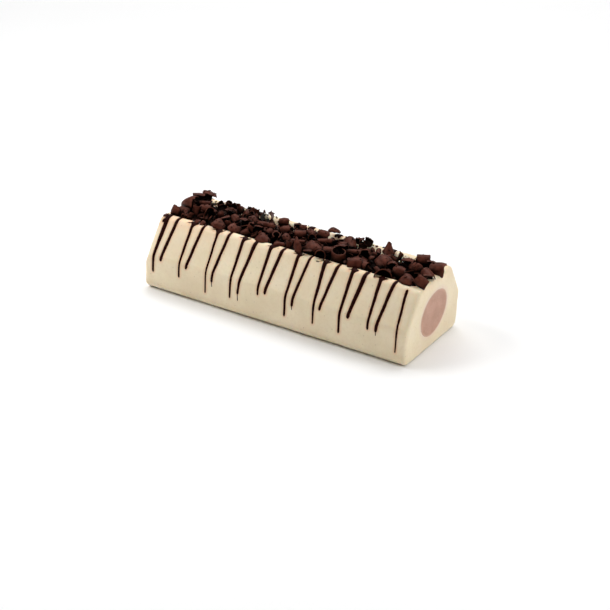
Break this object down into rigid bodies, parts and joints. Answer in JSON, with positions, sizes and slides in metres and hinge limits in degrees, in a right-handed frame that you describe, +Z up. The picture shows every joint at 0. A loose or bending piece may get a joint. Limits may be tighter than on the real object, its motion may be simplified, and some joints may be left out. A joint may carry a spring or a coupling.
{
  "type": "ice cream cake",
  "caption": "Frozen vanilla ice cream log with a round chocolate core, zigzag chocolate drizzle and rolled dark chocolate curls heaped on its top",
  "frame": {"origin": "middle of the flat base, on the surface that the cake stands on", "axes": "+X along the log towards the end that shows the core, +Z up, -Y towards the viewer"},
  "size_m": [0.262, 0.1024, 0.0778],
  "materials": {
    "vanilla_ice_cream": "matt frozen vanilla ice cream, with dark chocolate drizzle",
    "chocolate_ice_cream": "matt milk chocolate ice cream",
    "dark_chocolate": "satin dark chocolate"
  },
  "bodies": {
    "root": {"ice_cream_log": "vanilla_ice_cream", "chocolate_core": "chocolate_ice_cream", "chocolate_curls": "dark_chocolate"}
  },
  "joints": []
}
